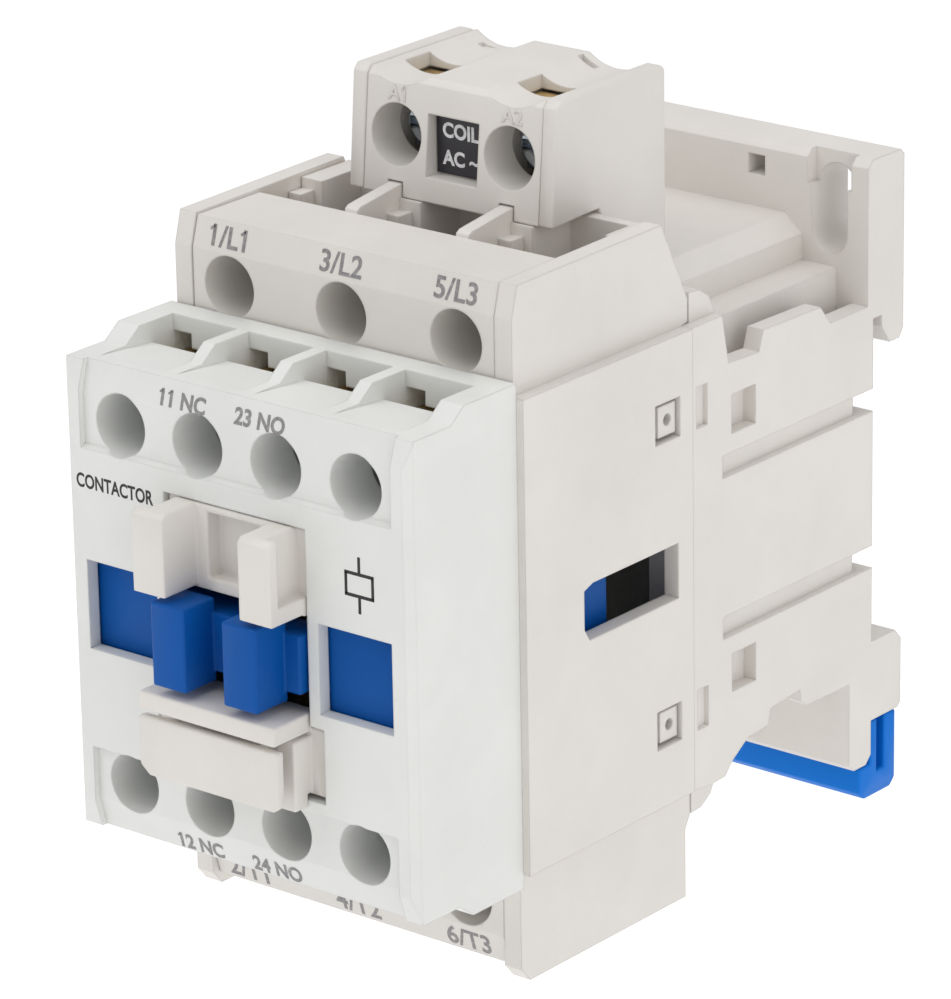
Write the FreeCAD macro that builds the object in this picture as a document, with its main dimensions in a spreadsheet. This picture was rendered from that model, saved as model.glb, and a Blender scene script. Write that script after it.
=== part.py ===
import FreeCAD, Part
import math
import os
import re
import Sketcher
from FreeCAD import Rotation, Vector

# Three-pole contactor for a 35 mm DIN rail, with an AC coil and two auxiliary contacts.
# X runs across the device to the right, Y from front to back and Z up.
# The origin is on the centre line, in the plane of the rail seat (Y = 0), midway
# between the side grooves (Z = 0).

doc = FreeCAD.newDocument("rail_contactor")

# ---------------------------------------------------------------- driving dimensions
DIMENSIONS = {
    # depth stations, measured from the rail seat
    "front_y": -73.6, "prong_y": -78.6, "cover_back_y": -57.4, "housing_back_y": -30.8,
    "flange_y": -1.0, "panel_y": 5.3, "wall": 1.6,
    # half widths
    "cover_half": 21.7, "housing_half": 22.5, "base_half": 22.3, "cheek_half": 21.1,
    "cheek_inner": 19.0,
    # front cover
    "cover_top": 24.4, "cover_high": 25.9, "bevel_z": 21.5, "bevel_depth": 0.9,
    "step_front_y": -67.2, "step_back_y": -65.2, "panel_half": 19.5, "panel_low": 15.2,
    "panel_depth": 0.7, "aux_pitch": 9.85, "aux_z": 18.65, "aux_hole": 3.15,
    "ramp_front_y": -71.0, "ramp_drop": 0.6, "mouth_front_y": -63.6, "mouth_back_y": -60.3,
    "pocket_roof": 22.7, "pocket_front_y": -66.8, "pocket_half": 4.15, "pocket_floor": 14.8,
    "opening_half": 8.9, "opening_top": 13.3, "opening_low": -14.4, "notch_half": 10.6,
    "notch_top": -6.7, "window_in": 10.2, "window_out": 19.3, "window_top": 4.1,
    "window_low": -5.2,
    # middle housing and its terminal sections
    "housing_top": 24.4, "section_top": 35.5, "section_low": 36.3, "section_front_y": -57.2,
    "chamfer_z": 31.9, "chamfer_y": -56.3, "section_back_y": -33.9, "pole_pitch": 14.25,
    "pole_z": 28.6, "pole_hole": 3.15, "block_half": 18.9, "band_back_y": -47.0,
    "block_top": 35.0, "block_back_y": -33.2, "rib_half": 0.8, "rib_x": 7.0, "ledge_y": -40.6,
    # coil terminal block
    "coil_half": 11.0, "coil_cheek_half": 12.8, "coil_front_y": -39.3, "coil_foot_y": -40.4,
    "coil_back_y": -22.2, "coil_top": 47.6, "coil_low": 35.1, "coil_x": 7.1, "coil_z": 41.2,
    "deck_z": 27.0, "coil_bore_end_y": -35.2, "coil_clamp_y": -32.95,
    # rear base
    "chamber_half": 18.4, "chamber_top": 22.3, "chamber_low": -21.4, "cavity_half": 16.9,
    "cavity_top": 20.4, "cavity_low": -19.8, "rail_top": 17.25, "foot_top": -17.95,
    "foot_low": -26.8, "leg_low": -31.5, "leg_y": -3.9, "flange_top": 34.1,
    "slot_x": 17.5, "slot_z": 28.2, "slot_half": 2.2, "slot_reach": 2.4,
    "groove_low": 7.35, "groove_top": 9.75, "groove_y": -25.7,
    # travel of the contact carrier and of the rail clip
    "carrier_travel": 4.5, "clip_travel": 4.0,
    # contacts
    "aux_head_y": -66.2, "aux_strip_y": -63.1, "strip_y": -45.3, "strip_thick": 1.3, "tip_thick": 1.0, "bridge_y": -53.0,
    # magnet
    "core_half": 6.4, "core_reach": 16.5, "leg_in": 12.5, "middle_leg": 3.6,
    "fixed_face_y": -18.1, "fixed_yoke_y": -7.2, "fixed_back_y": -2.9,
    "moving_face_y": -22.8, "moving_yoke_y": -31.0, "moving_front_y": -36.0,
    "bobbin_front_y": -24.3, "bobbin_back_y": -7.4,
}

sheet = doc.addObject("Spreadsheet::Sheet", "Dims")
for row, (alias, size) in enumerate(DIMENSIONS.items(), start=1):
    sheet.set(f"A{row}", alias)
    sheet.set(f"B{row}", str(size))
    sheet.setAlias(f"B{row}", alias)
doc.recompute()


def cell(text):
    """Turn a size written with the sheet's aliases into an expression."""
    return re.sub(r"[a-z_]{3,}", lambda word: "Dims." + word.group(0), str(text))


# Each view names the origin plane of an outline and the way its normal runs.
VIEWS = {"top": ("XY_Plane", 1), "front": ("XZ_Plane", -1), "side": ("YZ_Plane", 1)}


def minus(text):
    return f"-1*({text})"


def start_spot(index, count):
    """Where a corner is drawn before its two sizes move it into place."""
    turn = 2 * math.pi * (index + 0.3) / count
    return Vector(10 * math.cos(turn), 10 * math.sin(turn), 0)


class Piece:
    """One moulded, pressed or turned part, built as a body of pads and pockets."""

    def __init__(self, label):
        self.body = doc.addObject("PartDesign::Body", label)
        self.body.Label = label
        self.body.AllowCompound = True

    def sketch(self, view, level):
        role = VIEWS[view][0]
        plane = next(item for item in self.body.Origin.OriginFeatures if item.Role == role)
        outline = self.body.newObject("Sketcher::SketchObject", self.body.Label + "_outline")
        outline.AttachmentSupport = [(plane, "")]
        outline.MapMode = "FlatFace"
        outline.setExpression("AttachmentOffset.Base.z", cell(level))
        return outline

    def polygon(self, outline, corners):
        spots = [start_spot(index, len(corners)) for index in range(len(corners))]
        for index, spot in enumerate(spots):
            outline.addGeometry(Part.LineSegment(spot, spots[(index + 1) % len(spots)]))
        for index, (u, v) in enumerate(corners):
            following = (index + 1) % len(corners)
            outline.addConstraint(Sketcher.Constraint("Coincident", index, 2, following, 1))
            for kind, start, text in (("DistanceX", spots[index].x, u), ("DistanceY", spots[index].y, v)):
                number = outline.addConstraint(Sketcher.Constraint(kind, index, 1, start))
                outline.setExpression(f"Constraints[{number}]", cell(text))

    def circle(self, outline, centre, radius):
        outline.addGeometry(Part.Circle(Vector(1, 1, 0), Vector(0, 0, 1), 1))
        for kind, text in (("DistanceX", centre[0]), ("DistanceY", centre[1])):
            number = outline.addConstraint(Sketcher.Constraint(kind, 0, 3, 1))
            outline.setExpression(f"Constraints[{number}]", cell(text))
        number = outline.addConstraint(Sketcher.Constraint("Radius", 0, 1))
        outline.setExpression(f"Constraints[{number}]", cell(radius))

    def extrude(self, kind, view, low, high, draw):
        forward = VIEWS[view][1] > 0
        if kind == "Pad":
            level = low if forward else minus(high)
        else:
            level = high if forward else minus(low)
        outline = self.sketch(view, level)
        draw(outline)
        feature = self.body.newObject("PartDesign::" + kind, self.body.Label + "_" + kind.lower())
        feature.Profile = outline
        feature.setExpression("Length", cell(f"({high})-({low})"))
        outline.Visibility = False

    def add(self, view, corners, low, high):
        self.extrude("Pad", view, low, high, lambda outline: self.polygon(outline, corners))

    def cut(self, view, corners, low, high):
        self.extrude("Pocket", view, low, high, lambda outline: self.polygon(outline, corners))

    def add_round(self, view, centre, radius, low, high):
        self.extrude("Pad", view, low, high, lambda outline: self.circle(outline, centre, radius))

    def cut_round(self, view, centre, radius, low, high):
        self.extrude("Pocket", view, low, high, lambda outline: self.circle(outline, centre, radius))

    def add_box(self, x, y, z):
        self.add("front", rectangle(x, z), y[0], y[1])

    def cut_box(self, x, y, z):
        self.cut("front", rectangle(x, z), y[0], y[1])

    def turn(self, corners):
        """Revolve a half outline (radius, Y) about the piece's own Y axis."""
        outline = self.sketch("top", "0")
        self.polygon(outline, corners)
        feature = self.body.newObject("PartDesign::Revolution", self.body.Label + "_turned")
        feature.Profile = outline
        feature.ReferenceAxis = (outline, ["V_Axis"])
        feature.Angle = 360
        outline.Visibility = False

    def edges(self, choose):
        """The names of those edges of the body so far that a test picks."""
        doc.recompute()
        names = []
        for number, edge in enumerate(self.body.Shape.Edges, start=1):
            if choose(edge):
                names.append(f"Edge{number}")
        return names

    def dress(self, kind, radius, choose):
        names = self.edges(choose)
        tip = self.body.Tip
        feature = self.body.newObject("PartDesign::" + kind, self.body.Label + "_" + kind.lower())
        feature.Base = (tip, names)
        feature.setExpression("Radius" if kind == "Fillet" else "Size", cell(radius))

    def put(self, x, y, z):
        for axis, text in zip("xyz", (x, y, z)):
            self.body.setExpression("Placement.Base." + axis, cell(text))


def rectangle(u, v):
    return [(u[0], v[0]), (u[1], v[0]), (u[1], v[1]), (u[0], v[1])]


def wide(half):
    """A span centred on the middle plane."""
    return (f"-1*({half})", str(half))


def about(centre, half):
    """A span about a centre line."""
    return (f"({centre})-({half})", f"({centre})+({half})")


def flip(side, low, high):
    """A span on the upper side, or its mirror image on the lower side."""
    return (low, high) if side > 0 else (f"-1*({high})", f"-1*({low})")


def mirror(side, corners):
    """An outline in depth and height, as it stands above or mirrored below."""
    return [(y, z if side > 0 else f"-1*({z})") for y, z in corners]


def along(edge, axis):
    """True where an edge is straight and runs along an axis."""
    if edge.Curve.TypeId != "Part::GeomLine":
        return False
    return abs(abs(edge.tangentAt(edge.FirstParameter).dot(axis)) - 1) < 1e-6


X_AXIS = Vector(1, 0, 0)
Y_AXIS = Vector(0, 1, 0)
Z_AXIS = Vector(0, 0, 1)
finished = []


def finish(piece):
    finished.append(piece.body if isinstance(piece, Piece) else piece)


def gather(label, pieces):
    """Several like parts that share one name."""
    group = doc.addObject("Part::Compound", label)
    group.Label = label
    group.Links = [item.body if isinstance(item, Piece) else item for item in pieces]
    finish(group)


# ---------------------------------------------------------------- rear base
# Moulded base: a box for the magnet and coil, open at the front, with raised side
# walls, a flange with two screw slots and the fixed rail hooks above, and a foot
# with the channel of the rail clip below.
base = Piece("rear_base")
base.add("side", [("housing_back_y", "chamber_low"), ("housing_back_y", "chamber_top"),
                  ("0", "chamber_top"), ("0", "foot_top"), ("leg_y", "chamber_low")],
         "-1*chamber_half", "chamber_half")
base.add("front", [("-14.1", "chamber_top-1"), ("-14.1", "25.1"), ("-12", "deck_z"), ("12", "deck_z"),
                   ("14.1", "25.1"), ("14.1", "chamber_top-1")], "housing_back_y", "flange_y+1")
WALL_OUTLINE = [("housing_back_y", "-1*cover_top"), ("housing_back_y", "cover_top"), ("-25.7", "cover_top"),
                ("-24.7", "19.2"), ("-19.6", "19"), ("-18.9", "21.1"), ("-9.2", "20.9"), ("-7.5", "18.8"),
                ("0", "18.8"), ("0", "-21.6"), ("-11.3", "-21.4"), ("-12.4", "-20.7"), ("-12.6", "-19.3"),
                ("-17.7", "-19.7"), ("-18.1", "-21.4"), ("-21.5", "-21.6"), ("-24.2", "-23.3"),
                ("-25.4", "-24.6"), ("-27.5", "-24.7")]
for side in (1, -1):
    inner, outer = ("base_half-2", "base_half") if side > 0 else ("-1*base_half", "2-base_half")
    base.add("side", WALL_OUTLINE, inner, outer)
    inner, outer = ("chamber_half-1", "base_half-1") if side > 0 else ("1-base_half", "1-chamber_half")
    base.add("front", rectangle((inner, outer), wide(16)), "housing_back_y", "0")
    base.add("front", rectangle((inner, outer), wide("cover_top")), "housing_back_y", "-26.4")
base.add("side", [("flange_y", "16.8"), ("flange_y", "flange_top-0.8"), ("flange_y+0.8", "flange_top"),
                  ("panel_y-0.6", "flange_top"), ("panel_y", "flange_top-0.6"), ("panel_y", "15"),
                  ("4.6", "14"), ("2.9", "14"), ("1.5", "16"), ("1.5", "rail_top"), ("0", "rail_top")],
         "-1*base_half", "base_half")
base.add("side", [("leg_y", "-20"), ("leg_y", "leg_low+0.8"), ("leg_y+0.9", "leg_low"), ("-0.9", "leg_low"),
                  ("0", "leg_low+0.9"), ("0", "foot_low"), ("panel_y-0.5", "foot_low"),
                  ("panel_y", "foot_low+0.5"), ("panel_y", "foot_top-1.2"), ("4.2", "foot_top"),
                  ("-1", "foot_top")], "-1*base_half", "base_half")
for side in (1, -1):
    base.add("side", mirror(side, [("housing_back_y", "22"), ("housing_back_y", "26.4"), ("-29.2", "26.3"),
                                   ("-27.7", "25.3"), ("-27.2", "24"), ("-27.2", "22")]), "-18.7", "18.7")
    for span in (("13.3", "cheek_half"), ("-1*cheek_half", "-13.3")):
        base.add("side", mirror(side, [("-29.6", "22"), ("-29.6", "27.5"), ("-27.9", "27.4"), ("-26.3", "26.4"),
                                       ("-25.5", "24.8"), ("-25.5", "22")]), *span)
base.cut_box(wide("cavity_half"), ("housing_back_y-1", "-1*wall"), ("cavity_low", "cavity_top"))
for side in (1, -1):
    for height in (1, -1):
        inner, outer = ("base_half-0.8", "base_half+1") if side > 0 else ("-1*base_half-1", "0.8-base_half")
        base.cut("front", rectangle((inner, outer), flip(height, "groove_low", "groove_top")), "groove_y", "1")
        inner, outer = ("chamber_half+0.3", "base_half+1") if side > 0 else ("-1*base_half-1", "-1*chamber_half-0.3")
        base.cut("front", rectangle((inner, outer), flip(height, "groove_low", "groove_top")), "-2.4", "1")
        inner, outer = ("base_half-1.5", "base_half+1") if side > 0 else ("-1*base_half-1", "1.5-base_half")
        base.cut("front", rectangle((inner, outer), flip(height, "11.7", "15.8")), "-24.2", "-20.2")
        inner, outer = ("base_half-0.5", "base_half+1") if side > 0 else ("-1*base_half-1", "0.5-base_half")
        base.cut("front", rectangle((inner, outer), flip(height, "13.8", "18.1")), "-30", "-28.2")
# screw slots with a shallow run open at the top of the flange, and the square hole
for side in (1, -1):
    middle = "slot_x" if side > 0 else "-1*slot_x"
    base.cut("front", rectangle(about(middle, "slot_half"), about("slot_z", "slot_reach")), "flange_y-1", "panel_y+1")
    base.cut_round("front", (middle, "slot_z-slot_reach"), "slot_half", "flange_y-1", "panel_y+1")
    base.cut_round("front", (middle, "slot_z+slot_reach"), "slot_half", "flange_y-1", "panel_y+1")
    base.cut("front", rectangle(about(middle, "slot_half+0.5"), ("slot_z+slot_reach", "flange_top+1")),
             "flange_y-1", "flange_y+1.5")
base.cut_box(("7.3", "9.4"), ("flange_y-1", "panel_y+1"), ("30.4", "32.5"))
# slots that the coil leads pass through, and hollows that lighten the flange at the back
for side in (1, -1):
    span = ("7", "10.2") if side > 0 else ("-10.2", "-7")
    base.cut_box(span, ("-30.3", "-28.6"), ("cavity_top-1", "deck_z+1"))
base.cut_box(wide("6"), ("panel_y-3.6", "panel_y+1"), ("19.5", "32"))
# channel of the rail clip, its stop peg and the seat of its spring
base.cut_box(wide("14.5"), ("0", "panel_y+1"), ("leg_low-1", "foot_top+1"))
base.add_box(wide("2.2"), ("-0.5", "3.6"), ("-30", "-28.7"))
# snap arms that latch in the windows of the middle housing
for side in (1, -1):
    for height in (1, -1):
        arm = ("19.3", "20.5") if side > 0 else ("-20.5", "-19.3")
        base.add("front", rectangle(arm, flip(height, "14.6", "17.4")), "-37.2", "housing_back_y+2")
        head = ("19.3", "22.1") if side > 0 else ("-22.1", "-19.3")
        base.add("front", rectangle(head, flip(height, "14.4", "17.6")), "-36", "-33.2")
        pin_z = "16" if height > 0 else "-16"
        bore = ("19", "23") if side > 0 else ("-23", "-19")
        base.cut_round("side", ("-34.5", pin_z), "0.6", bore[0], bore[1])
finish(base)


# ---------------------------------------------------------------- middle housing
# Shell round the main contacts, open at the front and back, with partitions between
# the poles, shelves under the fixed contacts and the cheeks of both terminal sections.
housing = Piece("middle_housing")
housing.add_box(wide("housing_half"), ("cover_back_y", "housing_back_y"), wide("housing_top"))
housing.cut_box(wide("housing_half-1.8"), ("cover_back_y-1", "housing_back_y+1"), wide("housing_top-1.8"))
CHEEK_REAR = {1: [("section_back_y", "section_top"), ("-32.8", "33.2"), ("-29.8", "27")],
              -1: [("housing_back_y+0.2", "section_low"), ("housing_back_y+0.2", "29"), ("-29.8", "27.5")]}
CHEEK_FRONT = {1: [("chamfer_y", "section_top-0.3")],
               -1: [("section_front_y", "section_low-1.5"), ("chamfer_y+0.4", "section_low")]}
for height in (1, -1):
    for side in (1, -1):
        cheek = ("cheek_inner", "cheek_half") if side > 0 else ("-1*cheek_half", "-1*cheek_inner")
        housing.add("side", mirror(height, [
            ("section_front_y", "housing_top-1"), ("section_front_y", "chamfer_z"),
            *CHEEK_FRONT[height], *CHEEK_REAR[height], ("-29.8", "24.6"), ("housing_back_y", "24.4"),
            ("housing_back_y", "housing_top-1")]), cheek[0], cheek[1])
        middle = "rib_x" if side > 0 else "-1*rib_x"
        housing.add("front", rectangle(about(middle, "0.6"), flip(height, "6.6", "housing_top-1")),
                    "cover_back_y+2", "-44")
    shelf = flip(height, "12.4", "housing_top-1")
    housing.add("front", rectangle(wide("housing_half-1"), shelf), "-43.95", "-42.6")
for height in (1, -1):
    for pole in (-1, 0, 1):
        middle = f"{pole}*pole_pitch"
        housing.cut("front", rectangle(about(middle, "3.1"), flip(height, "housing_top-2.5", "housing_top+0.5")),
                    "strip_y-0.1", "strip_y+strip_thick+0.1")
for side in (1, -1):
    wall_span = ("housing_half-3", "housing_half+1") if side > 0 else ("-1*housing_half-1", "3-housing_half")
    housing.cut("side", [("-47.6", "-2.9"), ("-48.4", "-1.6"), ("-48.4", "2.4"), ("-47", "2.9"),
                         ("-33.3", "2.9"), ("-33.3", "-2.9")], wall_span[0], wall_span[1])
    for height in (1, -1):
        housing.cut("front", rectangle(wall_span, flip(height, "13.95", "18.05")), "-36.9", "-32.9")
finish(housing)


# ---------------------------------------------------------------- main terminal blocks
# Inserts between the cheeks: a thick front band with the screwdriver bores, and behind
# it a pocket for each pole between ribs, with a post in each rear corner and a step at
# the foot of the left one. The same block stands above and below.
POCKET_SIDES = {-1: ("-1*block_half", "-1*rib_x-rib_half"), 0: ("rib_half-rib_x", "rib_x-rib_half"),
                1: ("rib_x+rib_half", "block_half")}
for height, label in ((1, "terminal_block_upper"), (-1, "terminal_block_lower")):
    block = Piece(label)
    block.add("side", mirror(height, [
        ("section_front_y+0.1", "housing_top+0.05"), ("section_front_y+0.1", "chamfer_z"),
        ("chamfer_y+0.1", "block_top"), ("block_back_y", "block_top"), ("block_back_y", "housing_top+0.05")]),
        "-1*block_half", "block_half")
    for pole in (-1, 0, 1):
        middle = f"{pole}*pole_pitch"
        centre = (middle, "pole_z" if height > 0 else "-1*pole_z")
        block.cut_round("front", centre, "pole_hole", "section_front_y-1", "band_back_y+1")
        left, right = POCKET_SIDES[pole]
        block.cut("front", rectangle((left, right), flip(height, "25.6", "block_top+1")),
                  "band_back_y", "block_back_y-1.4" if height > 0 else "block_back_y+1")
        low, high = flip(height, "25.4", "block_top")
        block.add_box((left, f"{left}+2.7"), ("ledge_y", "block_back_y-0.2"), (low, high))
        block.add_box((f"{right}-1.2", right), ("ledge_y+2.2", "block_back_y-0.2"), (low, high))
        low, high = flip(height, "25.4", "block_top-1.1")
        block.add_box((left, f"{left}+1.6"), ("ledge_y-2", "ledge_y+0.1"), (low, high))
        block.cut("front", rectangle(about(middle, "3.1"), flip(height, "housing_top-1", "26")),
                  "strip_y-0.1", "strip_y+strip_thick+0.1")
    for side in (1, -1):
        rib = about("rib_x" if side > 0 else "-1*rib_x", "rib_half")
        block.add("side", mirror(height, [("band_back_y-0.2", "block_top-1"), ("band_back_y", "block_top+0.3"),
                                          ("band_back_y+0.5", "block_top+0.6"), ("-40.2", "36.4"),
                                          ("-37", "36.4"), ("-37", "block_top-1")]), rib[0], rib[1])
    finish(block)


# ---------------------------------------------------------------- front cover
# Cool-grey cover with two rows of four auxiliary terminals, a central opening for the
# accessory guides and the carrier head, and a window either side of it. Each terminal
# has a round bore for the screwdriver, a hollow for its screw and clamp plate, and a
# mouth for the wire at the end of a shallow ramp.
cover = Piece("front_cover")
cover.add("side", [("front_y", "-1*bevel_z"), ("front_y", "bevel_z"), ("front_y+bevel_depth", "cover_top"),
                   ("step_front_y", "cover_top"), ("step_back_y", "cover_high"), ("cover_back_y", "cover_high"),
                   ("cover_back_y", "-1*cover_high"), ("step_back_y", "-1*cover_high"),
                   ("step_front_y", "-1*cover_top"), ("front_y+bevel_depth", "-1*cover_top")],
          "-1*cover_half", "cover_half")
cover.dress("Chamfer", "0.8", lambda edge: abs(edge.CenterOfMass.y + 73.6) < 0.05 and along(edge, Z_AXIS))
cover.cut_box(wide("cover_half-wall"), ("front_y+1.5", "cover_back_y+1"), wide("13.8"))
for height in (1, -1):
    cover.cut("side", mirror(height, [
        ("front_y-1", "panel_low"), ("front_y+panel_depth", "panel_low+panel_depth"),
        ("front_y+panel_depth", "bevel_z-0.2"), ("front_y+panel_depth+1.1", "cover_top+1"),
        ("front_y-1", "cover_top+1")]), "-1*panel_half", "panel_half")
    for place in (-1.5, -0.5, 0.5, 1.5):
        middle = f"{place}*aux_pitch"
        centre = (middle, "aux_z" if height > 0 else "-1*aux_z")
        sides = about(middle, "pocket_half")
        cover.cut("front", rectangle(sides, flip(height, "pocket_floor", "pocket_roof")),
                  "pocket_front_y", "cover_back_y-1.5")
        cover.cut("side", mirror(height, [
            ("ramp_front_y", "cover_top"), ("mouth_front_y", "cover_top-ramp_drop"),
            ("mouth_front_y", "pocket_roof-0.5"), ("mouth_back_y", "pocket_roof-0.5"),
            ("mouth_back_y", "cover_high+1"), ("ramp_front_y", "cover_high+1")]), sides[0], sides[1])
        cover.cut_round("front", centre, "aux_hole", "front_y-1", "pocket_front_y+1")
        left = (f"{middle}-4.1", f"{middle}-1.8")
        cover.cut("front", rectangle(left, flip(height, "17", "24.2")), "mouth_back_y-0.5", "cover_back_y+1")
    slot = flip(height, "13", "pocket_floor+0.5")
    cover.cut("front", rectangle(about("-0.5*aux_pitch", "2.2"), slot), "-66", "-64.9")
    cover.cut("front", rectangle(about("0.5*aux_pitch", "2.2"), slot), "-61.6", "-60.5")
cover.cut_box(wide("opening_half"), ("front_y-1", "front_y+3"), ("opening_low", "opening_top"))
cover.cut_box(wide("notch_half"), ("front_y-1", "front_y+3"), ("opening_low", "notch_top"))
for side in (1, -1):
    span = ("window_in", "window_out") if side > 0 else ("-1*window_out", "-1*window_in")
    cover.cut_box(span, ("front_y-1", "front_y+3"), ("window_low", "window_top"))
finish(cover)


# ---------------------------------------------------------------- accessory guides
# Warm-grey inserts in the central opening: an accessory block hooks onto their prongs.
guide = Piece("guide_upper")
guide.add_box(wide("opening_half-0.2"), ("front_y-0.1", "-70.6"), ("4.5", "opening_top-0.15"))
for side in (1, -1):
    prong = ("4.7", "opening_half-0.2") if side > 0 else ("0.2-opening_half", "-4.7")
    guide.add("side", [("prong_y", "4.7"), ("prong_y", "12.6"), ("prong_y+0.5", "opening_top-0.15"),
                       ("-72", "opening_top-0.15"), ("-72", "4.7")], prong[0], prong[1])
    hollow = ("opening_half-1.5", "opening_half+1") if side > 0 else ("-1*opening_half-1", "1.5-opening_half")
    guide.cut_box(hollow, ("-77.3", "-73.1"), ("6.4", "opening_top+1"))
guide.cut_box(wide("3.3"), ("front_y-1", "-71.8"), ("5.8", "12.4"))
guide.add_box(wide("2.5"), ("-71.5", "cover_back_y"), ("11", "12.6"))
finish(guide)

ledge = Piece("guide_lower")
ledge.add("front", [("-10.4", "-7"), ("10.4", "-7"), ("10.4", "-13.9"), ("-10.4", "-13.9")], "-73.1", "-71.9")
ledge.add_box(wide("8.6"), ("prong_y", "-72"), ("-7.4", "-5.5"))
ledge.add_box(wide("6.4"), ("-74.8", "-72"), ("-13.6", "-7"))
ledge.add("front", [("-8.8", "-8.1"), ("8.8", "-8.1"), ("8.8", "-13.6"), ("8.2", "-14.2"),
                    ("-7.6", "-14.2"), ("-8.8", "-13.2")], "prong_y+0.1", "-77.4")
ledge.add_box(wide("5"), ("-77.6", "-74.5"), ("-13", "-8.6"))
for side in (1, -1):
    post = ("6.3", "8.5") if side > 0 else ("-8.5", "-6.3")
    ledge.add_box(post, ("-75.6", "-73.65"), ("-15.1", "-7.9"))
    ledge.add_box(post, ("-73.7", "-72"), ("-13.8", "-7.9"))
ledge.add_box(wide("2.5"), ("-72.5", "cover_back_y"), ("-13", "-11.4"))
finish(ledge)


# ---------------------------------------------------------------- contact carrier
# Blue moulding that slides in depth: prongs and head at the front, the two coloured
# indicator plates, windows for the auxiliary and main bridges, and the yoke fork.
carrier = Piece("contact_carrier")
for side in (1, -1):
    prong = ("2.4", "6.6") if side > 0 else ("-6.6", "-2.4")
    carrier.add_box(prong, ("prong_y", "-74"), ("-4.5", "4.1"))
    plate = ("9.8", "19.6") if side > 0 else ("-19.6", "-9.8")
    carrier.add_box(plate, ("-71.9", "-70.5"), ("-6.2", "5.1"))
carrier.add_box(wide("8.5"), ("-74.4", "-56"), ("-3.4", "2.6"))
carrier.add_box(wide("10"), ("-71.9", "-70.5"), ("-3.4", "2.6"))
carrier.add_box(wide("19.6"), ("-60", "-41.1"), ("-5.2", "5.2"))
carrier.add_box(wide("14.3"), ("-41.5", "-36.5"), ("-4", "4"))
for side in (1, -1):
    seat = ("9.7", "14.3") if side > 0 else ("-14.3", "-9.7")
    carrier.add_box(seat, ("-37", "-34.9"), ("-3", "3"))
    fork = ("6.7", "9.3") if side > 0 else ("-9.3", "-6.7")
    carrier.add_box(fork, ("-37", "-31"), ("-3.5", "3.5"))
carrier.cut_round("side", ("-33.6", "0"), "1.45", "-10", "10")
for pole in (-1, 0, 1):
    carrier.cut_box(about(f"{pole}*pole_pitch", "2.7"), ("-58", "bridge_y+1.02"), ("-6", "6"))
carrier.cut_box(about("0.5*aux_pitch", "2.1"), ("-70.4", "-67.45"), ("-6", "6"))
carrier.cut_box(about("-0.5*aux_pitch", "2.1"), ("-63.55", "-60.4"), ("-6", "6"))
finish(carrier)


# ---------------------------------------------------------------- magnet
# E-shaped stacks of silicon-steel sheet. The moving stack hangs in the carrier on a pin.
def e_core(label, back_y, yoke_y, face_y):
    core = Piece(label)
    core.add("side", [(back_y, "-1*core_reach"), (back_y, "core_reach"), (face_y, "core_reach"),
                      (face_y, "leg_in"), (yoke_y, "leg_in"), (yoke_y, "middle_leg"),
                      (face_y, "middle_leg"), (face_y, "-1*middle_leg"), (yoke_y, "-1*middle_leg"),
                      (yoke_y, "-1*leg_in"), (face_y, "-1*leg_in"), (face_y, "-1*core_reach")],
             "-1*core_half", "core_half")
    return core


moving_core = e_core("moving_core", "moving_front_y", "moving_yoke_y", "moving_face_y")
moving_core.cut_round("side", ("-33.6", "0"), "1.45", "-10", "10")
finish(moving_core)
fixed_core = e_core("fixed_core", "fixed_back_y", "fixed_yoke_y", "fixed_face_y")
for side in (1, -1):
    leg = flip(side, "14", "14.8")
    fixed_core.cut("front", rectangle(wide("core_half+1"), leg), "fixed_face_y-1", "fixed_face_y+1.5")
    fixed_core.cut("front", rectangle(wide("core_half+1"), flip(side, "core_reach-0.8", "core_reach+1")),
                   "fixed_face_y-1", "fixed_face_y+1.5")
    for end in (1, -1):
        span = ("core_half-0.8", "core_half+1") if end > 0 else ("-1*core_half-1", "0.8-core_half")
        fixed_core.cut("front", rectangle(span, flip(side, "14", "core_reach+1")),
                       "fixed_face_y-1", "fixed_face_y+1.5")
finish(fixed_core)

rings = []
for side, label in ((1, "shading_ring_top"), (-1, "shading_ring_bottom")):
    ring = Piece(label)
    ring.add("front", rectangle(wide("core_half"), flip(side, "14.05", "core_reach")),
             "fixed_face_y+0.3", "fixed_face_y+1.45")
    ring.cut("front", rectangle(wide("core_half-0.8"), flip(side, "14.8", "core_reach-0.8")),
             "fixed_face_y-1", "fixed_face_y+2")
    rings.append(ring)
gather("shading_rings", rings)

pin = Piece("core_pin")
pin.add_round("side", ("-33.6", "0"), "1.4", "-9.2", "9.2")
finish(pin)

buffer = Piece("core_buffer")
buffer.add_box(wide("core_half"), ("fixed_back_y+0.02", "-1.62"), ("-15", "15"))
finish(buffer)

bobbin = Piece("coil_bobbin")
bobbin.add_box(wide("14.6"), ("bobbin_front_y", "bobbin_front_y+1.2"), wide("11.8"))
bobbin.add_box(wide("14.6"), ("bobbin_back_y-1.2", "bobbin_back_y"), wide("11.8"))
bobbin.add_box(wide("8.1"), ("bobbin_front_y", "bobbin_back_y"), wide("5.2"))
bobbin.cut_box(wide("7"), ("bobbin_front_y-1", "bobbin_back_y+1"), wide("4.2"))
for side in (1, -1):
    span = ("7.3", "9.9") if side > 0 else ("-9.9", "-7.3")
    bobbin.add_box(span, ("bobbin_front_y", "bobbin_front_y+1.2"), ("11", "13.6"))
finish(bobbin)

winding = Piece("coil_winding")
winding.add_box(wide("14"), ("bobbin_front_y+1.25", "bobbin_back_y-1.25"), wide("11.2"))
winding.cut_box(wide("8.15"), ("bobbin_front_y-1", "bobbin_back_y+1"), wide("5.25"))
winding.dress("Fillet", "2.5", lambda edge: along(edge, Y_AXIS) and abs(edge.CenterOfMass.x) > 13)
finish(winding)


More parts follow.
